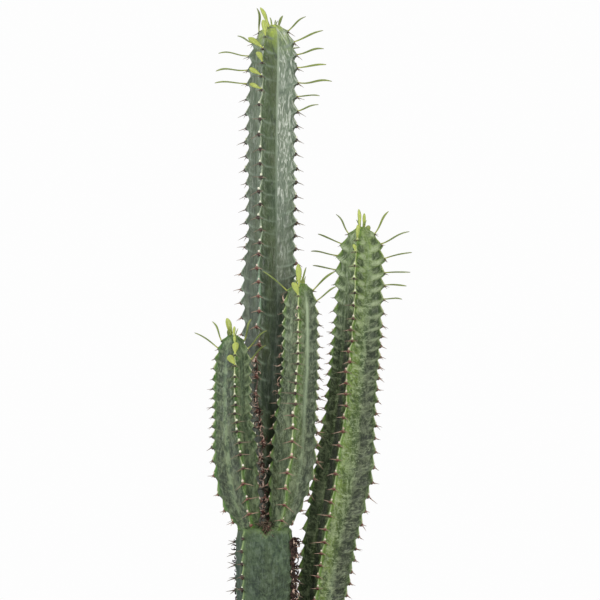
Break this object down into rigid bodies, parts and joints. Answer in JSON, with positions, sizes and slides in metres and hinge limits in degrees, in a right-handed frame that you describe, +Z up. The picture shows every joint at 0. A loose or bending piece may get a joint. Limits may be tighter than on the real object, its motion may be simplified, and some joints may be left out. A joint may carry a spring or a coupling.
{
  "type": "potted euphorbia",
  "caption": "Tall columnar euphorbia with ribbed, toothed and spined stems and small tip leaves, forked above a stout trunk, planted in soil in a plain clay pot with a rim band.",
  "frame": {"origin": "centre of the pot's flat underside", "axes": "+Z up the plant, -Y towards the side that the picture shows, +X to the right in the picture"},
  "size_m": [0.2853, 0.26, 1.0489],
  "materials": {
    "terracotta": "matte",
    "soil": "matte",
    "trunk_skin": "satin",
    "stem_skin": "satin",
    "leaf": "satin",
    "spine": "satin"
  },
  "bodies": {
    "root": {"pot": "terracotta", "soil": "soil", "trunk": "trunk_skin", "stem_tall": "stem_skin", "arm_left": "stem_skin", "arm_right": "stem_skin", "stem_right": "stem_skin"}
  },
  "joints": []
}
